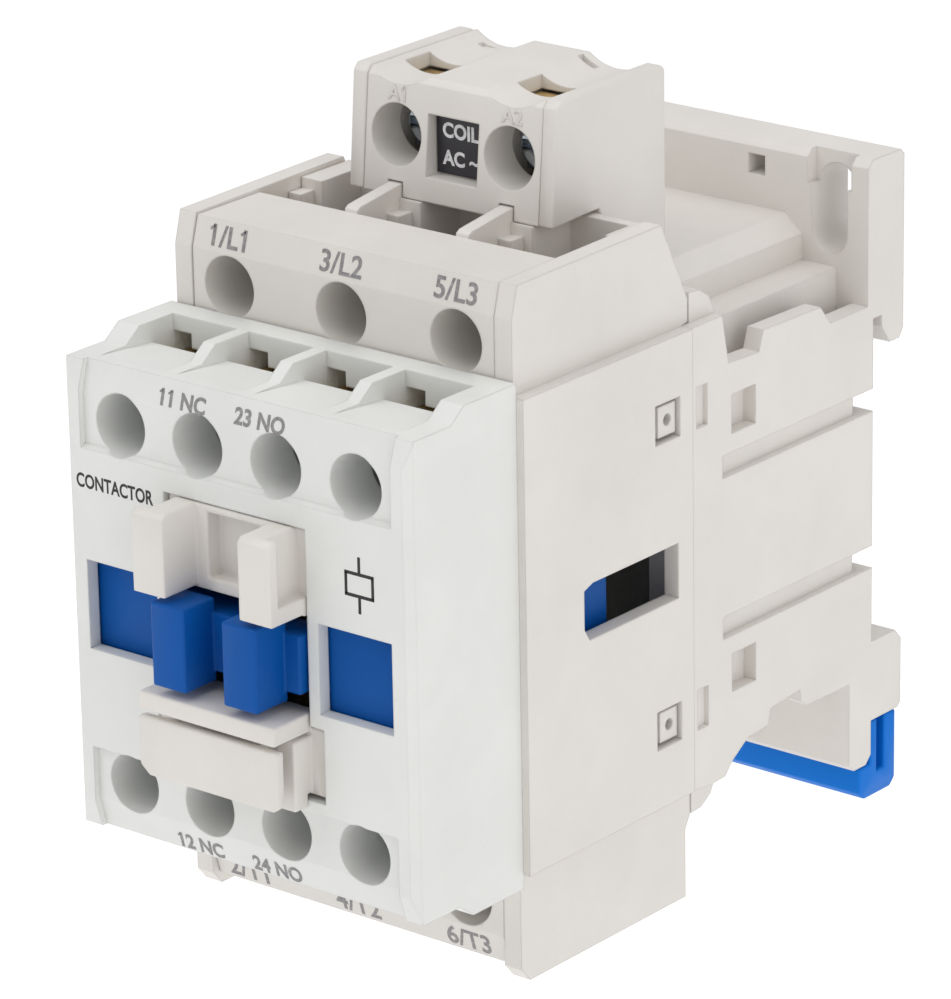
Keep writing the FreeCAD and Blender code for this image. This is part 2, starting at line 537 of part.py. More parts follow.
# ---------------------------------------------------------------- main contacts
# A brass strip with a silver-alloy tip leads from each main terminal into the chamber;
# a copper bridge with two tips, sprung in the carrier, joins the two strips of a pole.
strips = {1: [], -1: []}
fixed_tips = []
bridge_tips = []
bridges = []
for pole in (-1, 0, 1):
    middle = f"{pole}*pole_pitch"
    bridge = Piece(f"bridge_{pole + 2}")
    bridge.add_box(about(middle, "2.4"), ("bridge_y", "bridge_y+1"), wide("11.4"))
    bridges.append(bridge)
    for height in (1, -1):
        strip = Piece(f"strip_{pole + 2}_{'upper' if height > 0 else 'lower'}")
        strip.add("front", rectangle(about(middle, "2.9"), flip(height, "7.4", "33.4")),
                  "strip_y", "strip_y+strip_thick")
        strip.cut_round("front", (middle, "pole_z" if height > 0 else "-1*pole_z"), "1.8", "-46", "-43")
        strips[height].append(strip)
        tip = Piece(f"fixed_tip_{pole + 2}_{height + 1}")
        tip.add("front", rectangle(about(middle, "2.2"), flip(height, "8", "11")),
                "strip_y-tip_thick", "strip_y")
        fixed_tips.append(tip)
        tip = Piece(f"bridge_tip_{pole + 2}_{height + 1}")
        tip.add("front", rectangle(about(middle, "2"), flip(height, "8.1", "10.9")),
                "bridge_y+1", "bridge_y+2.1")
        bridge_tips.append(tip)
gather("line_strips_upper", strips[1])
gather("load_strips_lower", strips[-1])
gather("fixed_contact_tips", fixed_tips)
gather("contact_bridges", bridges)
gather("bridge_contact_tips", bridge_tips)


# ---------------------------------------------------------------- coil terminals
# The A1/A2 block stands on the deck of the base: a centre moulding with two bores and
# a label recess, closed by a cheek on each side.
coil_block = Piece("coil_terminal_block")
coil_block.add("side", [("coil_foot_y+0.1", "coil_low"), ("coil_front_y+0.1", "coil_top-0.9"),
                        ("coil_front_y+0.7", "coil_top-0.2"), ("coil_back_y-0.1", "coil_top-0.2"),
                        ("coil_back_y-0.1", "deck_z+0.05"), ("-32.4", "deck_z+0.05"), ("-32.4", "coil_low")],
               "-1*coil_half", "coil_half")
for side in (1, -1):
    middle = "coil_x" if side > 0 else "-1*coil_x"
    coil_block.cut_round("front", (middle, "coil_z"), "3.15", "-42", "coil_bore_end_y+1")
    coil_block.cut("front", rectangle(about(middle, "3.7"), ("36.6", "45.6")), "coil_bore_end_y", "-25.8")
    coil_block.cut("front", rectangle(about(middle, "3.1"), ("45", "coil_top+1")), "-34.4", "-30.6")
    coil_block.cut_round("front", (middle, "coil_top+4.6"), "6", "-42", "-20")
    lead = ("7.3", "9.9") if side > 0 else ("-9.9", "-7.3")
    coil_block.cut_box(lead, ("-30.1", "-28.8"), ("deck_z-1", "37"))
    coil_block.cut_box(about("rib_x" if side > 0 else "-1*rib_x", "rib_half+0.15"), ("-42", "-36.5"),
                       ("coil_low-1", "36.6"))
    coil_block.cut_box(("-9.2", "-7.2") if side < 0 else ("3.5", "5.5"), ("-24.2", "-23.4"), ("46.2", "coil_top+1"))
coil_block.cut_box(wide("3.2"), ("-42", "-38.2"), ("37.6", "43.9"))
finish(coil_block)

for side, label in ((-1, "coil_cheek_left"), (1, "coil_cheek_right")):
    cheek = Piece(label)
    span = ("coil_half+0.05", "coil_cheek_half") if side > 0 else ("-1*coil_cheek_half", "-1*coil_half-0.05")
    cheek.add("side", [("coil_foot_y", "coil_low"), ("coil_front_y-0.1", "coil_top-0.7"),
                       ("coil_front_y+0.6", "coil_top"), ("coil_back_y-0.5", "coil_top"),
                       ("coil_back_y", "coil_top-0.5"), ("coil_back_y", "deck_z+0.05"),
                       ("-29.4", "deck_z+0.05"), ("-32.9", "coil_low+0.3")], span[0], span[1])
    finish(cheek)

label_plate = Piece("rating_label")
label_plate.add_box(wide("3"), ("-38.45", "-38.22"), ("37.8", "43.7"))
finish(label_plate)

leads = []
for side in (1, -1):
    lead = Piece(f"coil_lead_{'right' if side > 0 else 'left'}")
    middle = "coil_x" if side > 0 else "-1*coil_x"
    plate_y = "coil_clamp_y+1.15"
    lead.add("front", rectangle(about(middle, "3.1"), ("36.8", "45.4")), plate_y, f"{plate_y}+0.9")
    lead.add_box(about(middle, "3.1"), (f"{plate_y}-2", plate_y), ("44.7", "45.4"))
    lead.add_box(about(middle, "3.1"), (plate_y, "-29"), ("36.8", "37.5"))
    tail = ("7.6", "9.6") if side > 0 else ("-9.6", "-7.6")
    lead.add_box(tail, ("-29.9", "-29"), ("12.2", "37.5"))
    lead.add_box(tail, ("-29.9", "bobbin_front_y"), ("12.2", "13.1"))
    lead.cut_round("front", (middle, "coil_z"), "1.5", f"{plate_y}-1", f"{plate_y}+2")
    leads.append(lead)
gather("coil_leads", leads)


# ---------------------------------------------------------------- screws and clamps
# Pan-head terminal screws with a cross slot. Each turns in its clamp plate; the head
# faces the front, the shank points to the back.
def screw(label, head, shank, reach, x, y, z):
    piece = Piece(label)
    piece.turn([("0", "0"), (f"{head}-0.5", "0"), (str(head), "0.5"), (str(head), "1.9"), (str(shank), "1.9"),
                (str(shank), f"{reach}-0.5"), (f"{shank}-0.4", str(reach)), ("0", str(reach))])
    piece.cut_box(wide("0.45"), ("-1", "1.1"), wide(f"{head}-0.5"))
    piece.cut_box(wide(f"{head}-0.5"), ("-1", "1.1"), wide("0.45"))
    piece.put(x, y, z)
    return piece


def clamp(label, half, thick, bore, x, y, z):
    piece = Piece(label)
    piece.add_box(wide(half), ("0", thick), wide(half))
    piece.cut_round("front", ("0", "0"), bore, "-1", f"{thick}+1")
    for side in (1, -1):
        lip = (f"{half}-0.6", str(half)) if side > 0 else (f"-1*{half}", f"0.6-{half}")
        piece.add_box(lip, (str(thick), f"{thick}+0.3"), wide(half))
    piece.put(x, y, z)
    return piece


for height, label in ((1, "upper"), (-1, "lower")):
    screws = []
    clamps = []
    for pole in (-1, 0, 1):
        spot = (f"{pole}*pole_pitch", "pole_z" if height > 0 else "-1*pole_z")
        screws.append(screw(f"main_{label}_{pole + 2}", "2.9", "1.7", "9.5", spot[0], "-48.6", spot[1]))
        clamps.append(clamp(f"washer_{label}_{pole + 2}", "2.85", "1", "1.8", spot[0], "-46.65", spot[1]))
    gather(f"main_screws_{label}", screws)
    gather(f"main_clamps_{label}", clamps)

for height, label in ((1, "upper"), (-1, "lower")):
    screws = []
    clamps = []
    tabs = []
    for place in (-1.5, -0.5, 0.5, 1.5):
        number = int(place + 2.5)
        middle = f"{place}*aux_pitch"
        centre_z = "aux_z" if height > 0 else "-1*aux_z"
        screws.append(screw(f"aux_{label}_{number}", "2.8", "1.5", "6.9", middle, "aux_head_y", centre_z))
        clamps.append(clamp(f"aux_washer_{label}_{number}", "2.8", "0.8", "1.6", middle, "aux_strip_y-1.15", centre_z))
        tab = Piece(f"aux_strip_{label}_{number}")
        tab.add("front", rectangle(about(middle, "3"), flip(height, "15.2", "21.8")),
                "aux_strip_y", "aux_strip_y+0.8")
        tail = (f"{middle}-3.9", f"{middle}-2")
        tab.add("front", rectangle(tail, flip(height, "17.6", "21.8")), "aux_strip_y", "cover_back_y-0.3")
        tab.cut_round("front", (middle, centre_z), "1.65", "aux_strip_y-1", "aux_strip_y+2")
        if place == -0.5:
            tab.add("front", rectangle(about(middle, "1.8"), flip(height, "15.2", "15.8")),
                    "-65.8", "aux_strip_y+0.8")
            tab.add("front", rectangle(about(middle, "1.8"), flip(height, "6", "15.8")), "-65.8", "-65")
            tab.add("front", rectangle(about(middle, "1.4"), flip(height, "6.2", "8.4")), "-65", "-64.3")
        if place == 0.5:
            tab.add("front", rectangle(about(middle, "1.8"), flip(height, "15.2", "15.8")),
                    "aux_strip_y", "-60.6")
            tab.add("front", rectangle(about(middle, "1.8"), flip(height, "6", "15.8")), "-61.4", "-60.6")
            tab.add("front", rectangle(about(middle, "1.4"), flip(height, "6.2", "8.4")), "-62.1", "-61.4")
        tabs.append(tab)
    gather(f"aux_screws_{label}", screws)
    gather(f"aux_clamps_{label}", clamps)
    gather(f"aux_strips_{label}", tabs)

coil_screws = []
coil_clamps = []
for side, label in ((1, "right"), (-1, "left")):
    middle = "coil_x" if side > 0 else "-1*coil_x"
    coil_screws.append(screw(f"coil_screw_{label}", "2.8", "1.4", "7", middle, "coil_clamp_y-1.95", "coil_z"))
    coil_clamps.append(clamp(f"coil_washer_{label}", "3.2", "0.8", "1.5", middle, "coil_clamp_y", "coil_z"))
gather("coil_screws", coil_screws)
gather("coil_clamps", coil_clamps)


# ---------------------------------------------------------------- auxiliary bridges
# Normally open on the right of the middle line, normally closed on the left.
open_bridge = Piece("aux_bridge_open")
open_bridge.add_box(about("0.5*aux_pitch", "1.8"), ("-68.4", "-67.5"), wide("8.6"))
for height in (1, -1):
    open_bridge.add("front", rectangle(about("0.5*aux_pitch", "1.3"), flip(height, "6.3", "8.3")),
                    "-67.5", "-66.7")
finish(open_bridge)
closed_bridge = Piece("aux_bridge_closed")
closed_bridge.add_box(about("-0.5*aux_pitch", "1.8"), ("-63.5", "-62.6"), wide("8.6"))
for height in (1, -1):
    closed_bridge.add("front", rectangle(about("-0.5*aux_pitch", "1.3"), flip(height, "6.3", "8.3")),
                      "-64.25", "-63.5")
finish(closed_bridge)


# ---------------------------------------------------------------- springs
# Round-wire coils: an open helix with its ends at the two seats. The wire's path is
# drawn along Z and then turned to lie along the spring's own axis.
def spring(label, radius, wire, length, turns, place, rotation):
    rise = length - wire
    path = Part.makeHelix(rise / turns, rise, radius - wire / 2)
    section = Part.Wire([Part.makeCircle(wire / 2, Vector(radius - wire / 2, 0, 0), Vector(0, 1, 0))])
    shape = Part.Wire(path.Edges).makePipeShell([section], True, True)
    shape.translate(Vector(0, 0, wire / 2))
    feature = doc.addObject("Part::Feature", label)
    feature.Label = label
    feature.Shape = shape
    feature.Placement = FreeCAD.Placement(place, rotation)
    return feature


TO_BACK = Rotation(X_AXIS, -90)
UPRIGHT = Rotation()
pitch = DIMENSIONS["pole_pitch"]
seat_y = -34.4
return_length = DIMENSIONS["bobbin_front_y"] - 0.25 - seat_y
returns = [spring(f"return_spring_{side + 2}", 2.2, 0.5, return_length, 6,
                  Vector(side * 11.9, seat_y, 0), TO_BACK) for side in (-1, 1)]
gather("return_springs", returns)
contact_length = 4.6
gather("contact_springs", [spring(f"contact_spring_{pole + 2}", 2.0, 0.45, contact_length, 5,
                                  Vector(pole * pitch, -57.7, 0), TO_BACK) for pole in (-1, 0, 1)])
half_aux = DIMENSIONS["aux_pitch"] / 2
aux_springs = [spring("aux_spring_open", 1.5, 0.3, 1.75, 4, Vector(half_aux, -70.28, 0), TO_BACK),
               spring("aux_spring_closed", 1.5, 0.3, 1.95, 4, Vector(-half_aux, -62.48, 0), TO_BACK)]
gather("aux_springs", aux_springs)


# ---------------------------------------------------------------- rail clip
# Blue slider in the foot of the base: it slides down against its spring, and its jaw
# holds the lower edge of the rail.
clip = Piece("rail_clip")
clip.add_box(wide("14.1"), ("0.15", "4.9"), ("leg_low-1", "foot_top-0.3"))
clip.add_box(wide("14.1"), ("1.6", "4.9"), ("foot_top-1", "-16.4"))
clip.add("side", [("-1.6", "-31.9"), ("-1.6", "-34.7"), ("-0.6", "-35.6"), ("4", "-35.6"), ("4.9", "-34.8"),
                  ("4.9", "-31.9")], "-22", "22")
for side in (1, -1):
    ear = ("17.2", "22") if side > 0 else ("-22", "-17.2")
    clip.add_box(ear, ("0.4", "4.9"), ("-33", "foot_low-0.3"))
    clip.cut_box(("19", "23") if side > 0 else ("-23", "-19"), ("1.6", "2.9"), ("-33", "foot_low+1"))
clip.cut_box(wide("3"), ("-1", "6"), ("-30.3", "-22.1"))
finish(clip)
finish(spring("rail_clip_spring", 1.7, 0.4, 6.1, 7, Vector(0, 2.2, -28.5), UPRIGHT))


# ---------------------------------------------------------------- checks and export
doc.recompute()
idle = []
for item in doc.Objects:
    if "Invalid" in item.State or "Error" in item.State:
        raise RuntimeError(f"{item.Label} failed: {item.State}")
    if item.TypeId == "PartDesign::Pocket":
        removed = item.BaseFeature.Shape.Volume - item.Shape.Volume
        if removed < 0.01:
            idle.append(item.Label)
if idle:
    raise RuntimeError(f"these pockets cut nothing: {idle}")

os.makedirs("parts", exist_ok=True)
for item in finished:
    shape = item.Shape
    if shape.isNull() or not shape.isValid():
        raise RuntimeError(f"{item.Label} has no valid shape")
    shape.exportStep(f"parts/{item.Label}.step")
    box = shape.BoundBox
    print(f"{item.Label:24s} solids {len(shape.Solids):2d}  volume {shape.Volume:9.1f}  "
          f"x {box.XMin:7.2f} {box.XMax:7.2f}  y {box.YMin:7.2f} {box.YMax:7.2f}  "
          f"z {box.ZMin:7.2f} {box.ZMax:7.2f}")
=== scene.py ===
import math

import bmesh
import bpy
from mathutils import Matrix, Vector


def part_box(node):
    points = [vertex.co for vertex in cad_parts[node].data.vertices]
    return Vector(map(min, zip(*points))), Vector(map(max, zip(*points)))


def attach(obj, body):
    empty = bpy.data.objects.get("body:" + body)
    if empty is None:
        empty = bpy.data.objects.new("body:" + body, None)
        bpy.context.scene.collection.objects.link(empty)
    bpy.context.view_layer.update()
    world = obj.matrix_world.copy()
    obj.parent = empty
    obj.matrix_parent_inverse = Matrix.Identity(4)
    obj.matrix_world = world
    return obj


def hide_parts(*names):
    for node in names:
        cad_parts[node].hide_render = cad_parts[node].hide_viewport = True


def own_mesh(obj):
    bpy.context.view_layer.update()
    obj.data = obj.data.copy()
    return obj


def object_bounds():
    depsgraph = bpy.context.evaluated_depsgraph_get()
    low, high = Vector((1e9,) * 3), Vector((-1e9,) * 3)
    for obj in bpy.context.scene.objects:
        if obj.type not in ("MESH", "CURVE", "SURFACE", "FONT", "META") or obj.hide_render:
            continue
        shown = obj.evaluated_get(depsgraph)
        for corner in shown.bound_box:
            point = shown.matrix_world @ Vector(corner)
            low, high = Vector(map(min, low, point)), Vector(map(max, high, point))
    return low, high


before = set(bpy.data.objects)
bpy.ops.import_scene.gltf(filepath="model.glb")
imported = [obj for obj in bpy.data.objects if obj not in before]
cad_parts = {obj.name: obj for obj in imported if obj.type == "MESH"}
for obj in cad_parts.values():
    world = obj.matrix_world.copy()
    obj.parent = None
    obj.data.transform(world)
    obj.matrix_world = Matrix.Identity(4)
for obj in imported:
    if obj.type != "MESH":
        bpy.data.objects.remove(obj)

cad_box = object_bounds()
MM = 0.001
scene = bpy.context.scene


# ---------------------------------------------------------------- rear base
# The base is one moulding of warm-grey polyamide. It holds the magnet and the coil, and
# its flange and foot carry the rail hooks. The mould leaves a dull, finely eroded skin
# and small radii on every outside edge.
WARM_GREY = (0.735, 0.705, 0.668)
MOULD_RADIUS = 0.28
FLAT = math.radians(0.5)
SHARP = math.radians(30)
ROOM_TAKEN = 0.42  # share of the room beside an edge that its radius may use


def moulded_plastic(name, colour, roughness, grain=1.0):
    """Matt thermoplastic: cloudy shade, a fine eroded grain, an uneven dull gloss and softened edges."""
    material = bpy.data.materials.new(name)
    material.use_nodes = True
    nodes = material.node_tree.nodes
    links = material.node_tree.links
    shader = nodes["Principled BSDF"]
    shader.inputs["IOR"].default_value = 1.5
    place = nodes.new("ShaderNodeTexCoord")

    cloud = nodes.new("ShaderNodeTexNoise")
    cloud.inputs["Scale"].default_value = 70
    cloud.inputs["Detail"].default_value = 5
    cloud.inputs["Roughness"].default_value = 0.6
    links.new(place.outputs["Object"], cloud.inputs["Vector"])
    shade = nodes.new("ShaderNodeValToRGB")
    shade.color_ramp.elements[0].position = 0.32
    shade.color_ramp.elements[0].color = (*[0.955 * part for part in colour], 1)
    shade.color_ramp.elements[1].position = 0.66
    shade.color_ramp.elements[1].color = (*[min(1, 1.02 * part) for part in colour], 1)
    links.new(cloud.outputs["Fac"], shade.inputs["Fac"])

    speck = nodes.new("ShaderNodeTexVoronoi")
    speck.inputs["Scale"].default_value = 420
    links.new(place.outputs["Object"], speck.inputs["Vector"])
    dust = nodes.new("ShaderNodeValToRGB")
    dust.color_ramp.elements[0].position = 0.018
    dust.color_ramp.elements[0].color = (0.72, 0.70, 0.68, 1)
    dust.color_ramp.elements[1].position = 0.05
    dust.color_ramp.elements[1].color = (1, 1, 1, 1)
    links.new(speck.outputs["Distance"], dust.inputs["Fac"])
    tint = nodes.new("ShaderNodeMix")
    tint.data_type = "RGBA"
    tint.blend_type = "MULTIPLY"
    tint.inputs["Factor"].default_value = 0.35
    links.new(shade.outputs["Color"], tint.inputs["A"])
    links.new(dust.outputs["Color"], tint.inputs["B"])
    links.new(tint.outputs["Result"], shader.inputs["Base Color"])

    gloss = nodes.new("ShaderNodeMapRange")
    gloss.inputs["To Min"].default_value = roughness - 0.05
    gloss.inputs["To Max"].default_value = roughness + 0.07
    links.new(cloud.outputs["Fac"], gloss.inputs["Value"])
    links.new(gloss.outputs["Result"], shader.inputs["Roughness"])

    fine = nodes.new("ShaderNodeTexNoise")
    fine.inputs["Scale"].default_value = 4200
    fine.inputs["Detail"].default_value = 3
    links.new(place.outputs["Object"], fine.inputs["Vector"])
    wave = nodes.new("ShaderNodeTexNoise")
    wave.inputs["Scale"].default_value = 160
    links.new(place.outputs["Object"], wave.inputs["Vector"])
    corner = nodes.new("ShaderNodeBevel")
    corner.samples = 6
    corner.inputs["Radius"].default_value = MOULD_RADIUS * MM
    skin = nodes.new("ShaderNodeBump")
    skin.inputs["Strength"].default_value = 0.35
    skin.inputs["Distance"].default_value = 0.000012 * grain
    links.new(corner.outputs["Normal"], skin.inputs["Normal"])
    links.new(fine.outputs["Fac"], skin.inputs["Height"])
    sink = nodes.new("ShaderNodeBump")
    sink.inputs["Strength"].default_value = 0.25
    sink.inputs["Distance"].default_value = 0.00008
    links.new(wave.outputs["Fac"], sink.inputs["Height"])
    links.new(skin.outputs["Normal"], sink.inputs["Normal"])
    links.new(sink.outputs["Normal"], shader.inputs["Normal"])
    return material


def paint(material, *names):
    """Gives CAD pieces whose shape is right their material."""
    for name in names:
        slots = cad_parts[name].data.materials
        slots.clear()
        slots.append(material)


def dress(piece, body, material):
    """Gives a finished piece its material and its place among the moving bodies."""
    piece.data.materials.clear()
    piece.data.materials.append(material)
    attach(piece, body)


def room_beside(edge):
    """How far the nearest other corner of an edge's two faces lies from that edge."""
    start = edge.verts[0].co
    run = edge.verts[1].co - start
    nearest = 1.0
    for face in edge.link_faces:
        for corner in face.verts:
            if corner in edge.verts:
                continue
            share = min(1, max(0, (corner.co - start).dot(run) / run.length_squared))
            nearest = min(nearest, (corner.co - start - share * run).length)
    return nearest


def rounded(node, name, radius, body, material):
    """Stands in for a CAD piece, with radii on its edges that are smaller where the next edge is close."""
    shell = bmesh.new()
    shell.from_mesh(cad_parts[node].data)
    bmesh.ops.remove_doubles(shell, verts=shell.verts, dist=0.002 * MM)
    bmesh.ops.dissolve_limit(shell, angle_limit=FLAT, verts=shell.verts, edges=shell.edges)
    share = shell.edges.layers.float.new("bevel_weight_edge")
    for edge in shell.edges:
        if edge.is_manifold and edge.calc_face_angle() > SHARP:
            edge[share] = min(1, ROOM_TAKEN * room_beside(edge) / (radius * MM))
    many_sided = [face for face in shell.faces if len(face.verts) > 4]
    bmesh.ops.triangulate(shell, faces=many_sided, ngon_method="BEAUTY")
    for face in shell.faces:
        face.smooth = True
    mesh = bpy.data.meshes.new(name)
    shell.to_mesh(mesh)
    shell.free()
    piece = bpy.data.objects.new(name, mesh)
    scene.collection.objects.link(piece)
    bevel = piece.modifiers.new("mould radius", "BEVEL")
    bevel.width = radius * MM
    bevel.segments = 2
    bevel.limit_method = "WEIGHT"
    bevel.use_clamp_overlap = False
    bevel.loop_slide = False
    bevel.harden_normals = True
    dress(piece, body, material)
    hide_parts(node)


warm_plastic = moulded_plastic("warm_grey_polyamide", WARM_GREY, 0.46)
paint(warm_plastic, "rear_base")


# ---------------------------------------------------------------- middle housing
# The middle housing is a second warm-grey moulding, snapped on the arms of the base. Its
# cheeks close the main terminals at the sides, and its windows show the snap heads and
# the carrier.
paint(warm_plastic, "middle_housing")


# ---------------------------------------------------------------- main terminal blocks
# Each terminal row is an insert between the cheeks: a thick band with the screwdriver
# bores, and ribbed wire pockets behind it. The terminal numbers are pad-printed in grey
# ink on the band's sloping edge.
paint(warm_plastic, "terminal_block_upper", "terminal_block_lower")

PRINT_GREY = (0.21, 0.20, 0.205)
CAPITAL_SHARE = 0.73  # height of a capital letter over the size of the font


def print_ink(name, colour, worn):
    """Pad-print ink: thin, slightly broken where it didn't take, with a dull surface."""
    material = bpy.data.materials.new(name)
    material.use_nodes = True
    nodes = material.node_tree.nodes
    links = material.node_tree.links
    shader = nodes["Principled BSDF"]
    shader.inputs["Roughness"].default_value = 0.55
    place = nodes.new("ShaderNodeTexCoord")
    dots = nodes.new("ShaderNodeTexNoise")
    dots.inputs["Scale"].default_value = 3000
    dots.inputs["Detail"].default_value = 4
    links.new(place.outputs["Object"], dots.inputs["Vector"])
    cover = nodes.new("ShaderNodeValToRGB")
    cover.color_ramp.elements[0].position = 0.38
    cover.color_ramp.elements[0].color = (*colour, 1)
    cover.color_ramp.elements[1].position = 0.72
    cover.color_ramp.elements[1].color = (*worn, 1)
    links.new(dots.outputs["Fac"], cover.inputs["Fac"])
    links.new(cover.outputs["Color"], shader.inputs["Base Color"])
    skin = nodes.new("ShaderNodeBump")
    skin.inputs["Strength"].default_value = 0.2
    skin.inputs["Distance"].default_value = 0.00001
    links.new(dots.outputs["Fac"], skin.inputs["Height"])
    links.new(skin.outputs["Normal"], shader.inputs["Normal"])
    return material


def flag_ones(solid, height, thickness):
    """Adds the slanting stroke at the head of each numeral 1, which the font draws as a plain bar."""
    left_over = set(solid.verts)
    bars = []
    while left_over:
        island = set()
        reached = {left_over.pop()}
        while reached:
            corner = reached.pop()
            island.add(corner)
            reached |= {edge.other_vert(corner) for edge in corner.link_edges} - island
        left_over -= island
        across = [corner.co.x for corner in island]
        upward = [corner.co.y for corner in island]
        if max(upward) - min(upward) > 0.8 * height and max(across) - min(across) < 0.25 * height:
            bars.append((min(across), max(upward)))
    for left, top in bars:
        stroke = bmesh.ops.create_cube(solid, size=1)["verts"]
        bmesh.ops.scale(solid, verts=stroke, vec=(0.3 * height, 0.13 * height, thickness))
        bmesh.ops.rotate(solid, verts=stroke, matrix=Matrix.Rotation(math.radians(38), 3, "Z"))
        bmesh.ops.translate(solid, verts=stroke, vec=(left - 0.03 * height, top - 0.16 * height, 0))


def letters(name, words, height, centre, tilt, thickness, bold=0.07, width=1.0):
    """A mesh of letters on a face that looks to the front and leans back by an angle in degrees."""
    curve = bpy.data.curves.new(name, "FONT")
    curve.body = words
    curve.size = height * MM / CAPITAL_SHARE
    curve.space_character = 1.02
    curve.align_x = "CENTER"
    curve.align_y = "CENTER"
    curve.extrude = thickness * MM / 2
    curve.offset = bold * MM
    drawn = bpy.data.objects.new(name, curve)
    scene.collection.objects.link(drawn)
    mesh = bpy.data.meshes.new_from_object(drawn.evaluated_get(bpy.context.evaluated_depsgraph_get()))
    bpy.data.objects.remove(drawn)
    solid = bmesh.new()
    solid.from_mesh(mesh)
    bmesh.ops.remove_doubles(solid, verts=solid.verts, dist=0.0005 * MM)
    if "1" in words:
        flag_ones(solid, height * MM, thickness * MM)
    stretch = Matrix.Diagonal((width, 1, 1, 1))
    lean = Matrix.Rotation(math.radians(90 - tilt), 4, "X")
    place = Matrix.Translation(Vector(centre) * MM)
    bmesh.ops.transform(solid, verts=solid.verts, matrix=place @ lean @ stretch)
    solid.to_mesh(mesh)
    solid.free()
    mesh.name = name
    piece = bpy.data.objects.new(name, mesh)
    scene.collection.objects.link(piece)
    return piece


grey_ink = print_ink("grey_print", PRINT_GREY, (0.34, 0.33, 0.33))
PRINT_THICK = 0.03
BAND_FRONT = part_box("terminal_block_upper")[0].y / MM
BAND_CORNER_Z = 31.9
BAND_FALL = 0.9 / 3.1
BAND_SLOPE = math.degrees(math.atan(BAND_FALL))
POLE_PITCH = 14.25
UPPER_NUMBER_Z = 33.35
LOWER_NUMBER_Z = -33.7
for index, (over, under) in enumerate((("1/L1", "2/T1"), ("3/L2", "4/T2"), ("5/L3", "6/T3"))):
    across = (index - 1) * POLE_PITCH - 0.2
    for words, high in ((over, UPPER_NUMBER_Z), (under, LOWER_NUMBER_Z)):
        name = words.replace("/", "_")
        band_y = BAND_FRONT + (abs(high) - BAND_CORNER_Z) * BAND_FALL - PRINT_THICK / 2
        number = letters(f"number_{name}", words, 2.2, (across, band_y, high),
                         math.copysign(BAND_SLOPE, high), PRINT_THICK, bold=0.055)
        dress(number, "housing", grey_ink)


# ---------------------------------------------------------------- front cover
# The cover is moulded in a cooler, lighter grey than the rest and snapped on the middle
# housing. The contact numbers are printed on the sloping edge of its recessed panels,
# and a plain type word stands on its face.
COOL_GREY = (0.765, 0.772, 0.752)
cool_plastic = moulded_plastic("cool_grey_polyamide", COOL_GREY, 0.44)
paint(cool_plastic, "front_cover")

COVER_FRONT = -73.6
PANEL_FRONT = -72.9
PANEL_CORNER_Z = 21.3
PANEL_FALL = 1.1 / 4.1
PANEL_SLOPE = math.degrees(math.atan(PANEL_FALL))
CONTACT_NUMBERS = (("11 NC", -7.0, 22.45), ("23 NO", 2.8, 22.45),
                   ("12 NC", -6.8, -23.5), ("24 NO", 3.1, -23.5))
for words, across, high in CONTACT_NUMBERS:
    name = words.replace(" ", "_")
    number_y = PANEL_FRONT + (abs(high) - PANEL_CORNER_Z) * PANEL_FALL - PRINT_THICK / 2
    number = letters(f"number_{name}", words, 1.65, (across, number_y, high),
                     math.copysign(PANEL_SLOPE, high), PRINT_THICK, width=0.95)
    dress(number, "housing", grey_ink)

word = letters("printed_type_word", "CONTACTOR", 1.45, (-15.3, COVER_FRONT, 12.2), 0, PRINT_THICK,
               bold=0.05, width=0.78)
black_ink = print_ink("black_print", (0.012, 0.012, 0.013), (0.03, 0.03, 0.03))
dress(word, "housing", black_ink)

# a plain printed circuit symbol: the coil's box with a lead above and below
SYMBOL_X = 15.5
SYMBOL_Z = 9.1
LINE = 0.34
SYMBOL_LINES = ((0, 1.1, 3.6, LINE), (0, -1.1, 3.6, LINE), (-1.63, 0, LINE, 2.2), (1.63, 0, LINE, 2.2),
                (0, 2.05, LINE, 1.6), (0, -2.05, LINE, 1.6))
symbol = bmesh.new()
for across, high, wide, tall in SYMBOL_LINES:
    stroke = bmesh.ops.create_cube(symbol, size=1)["verts"]
    bmesh.ops.scale(symbol, verts=stroke, vec=(wide * MM, PRINT_THICK * MM, tall * MM))
    spot = Vector((SYMBOL_X + across, COVER_FRONT, SYMBOL_Z + high)) * MM
    bmesh.ops.translate(symbol, verts=stroke, vec=spot)
symbol_mesh = bpy.data.meshes.new("printed_coil_symbol")
symbol.to_mesh(symbol_mesh)
symbol.free()
symbol_piece = bpy.data.objects.new("printed_coil_symbol", symbol_mesh)
scene.collection.objects.link(symbol_piece)
dress(symbol_piece, "housing", black_ink)


# ---------------------------------------------------------------- accessory guides
# Two warm-grey inserts in the opening of the cover. An accessory block hooks on their
# prongs and ledges.
for place in ("upper", "lower"):
    rounded(f"guide_{place}", f"guide_insert_{place}", 0.22, "housing", warm_plastic)


# ---------------------------------------------------------------- contact carrier
# The carrier is moulded in blue polyamide and slides in the housing. Its head pokes out
# between the guides, and its two side plates show the switching state.
CARRIER_BLUE = (0.002, 0.085, 0.36)
carrier_plastic = moulded_plastic("blue_polyamide", CARRIER_BLUE, 0.42, grain=1.6)
carrier_plastic.node_tree.nodes["Principled BSDF"].inputs["Specular IOR Level"].default_value = 0.15
rounded("contact_carrier", "carrier_moulding", 0.22, "carrier", carrier_plastic)


